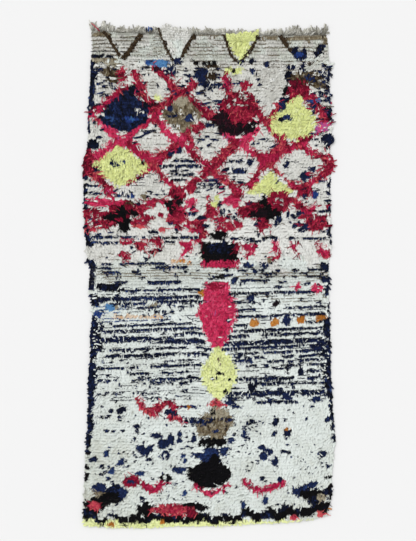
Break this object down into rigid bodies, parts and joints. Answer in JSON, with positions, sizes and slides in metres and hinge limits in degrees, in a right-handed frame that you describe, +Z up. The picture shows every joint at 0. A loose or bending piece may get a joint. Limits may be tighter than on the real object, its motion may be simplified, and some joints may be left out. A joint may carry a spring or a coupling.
{
  "type": "azilal rug",
  "caption": "Long flat hand-knotted wool rug of uneven outline, with ribbed rows of shaggy pile, locks at its edges and a short warp fringe at one end.",
  "frame": {"origin": "on the floor, under the middle of the rug", "axes": "+Z up from the floor, +Y along the rug to the end with the warp fringe, +X across it to the right seen from above"},
  "size_m": [1.2063, 2.3789, 0.0174],
  "materials": {
    "ivory_wool": "matt shaggy pile of undyed ivory wool",
    "warp_wool": "matt spun undyed grey wool",
    "navy_wool": "matt navy yarn",
    "crimson_wool": "matt crimson wool pile",
    "rose_wool": "matt rose red wool pile",
    "yellow_wool": "matt lemon yellow wool pile",
    "taupe_wool": "matt undyed brown wool pile",
    "black_wool": "matt black wool pile",
    "blue_cotton": "matt blue cotton",
    "orange_wool": "matt orange wool"
  },
  "bodies": {
    "root": {"rug_body": "ivory_wool", "warp_fringe": "warp_wool"}
  },
  "joints": []
}
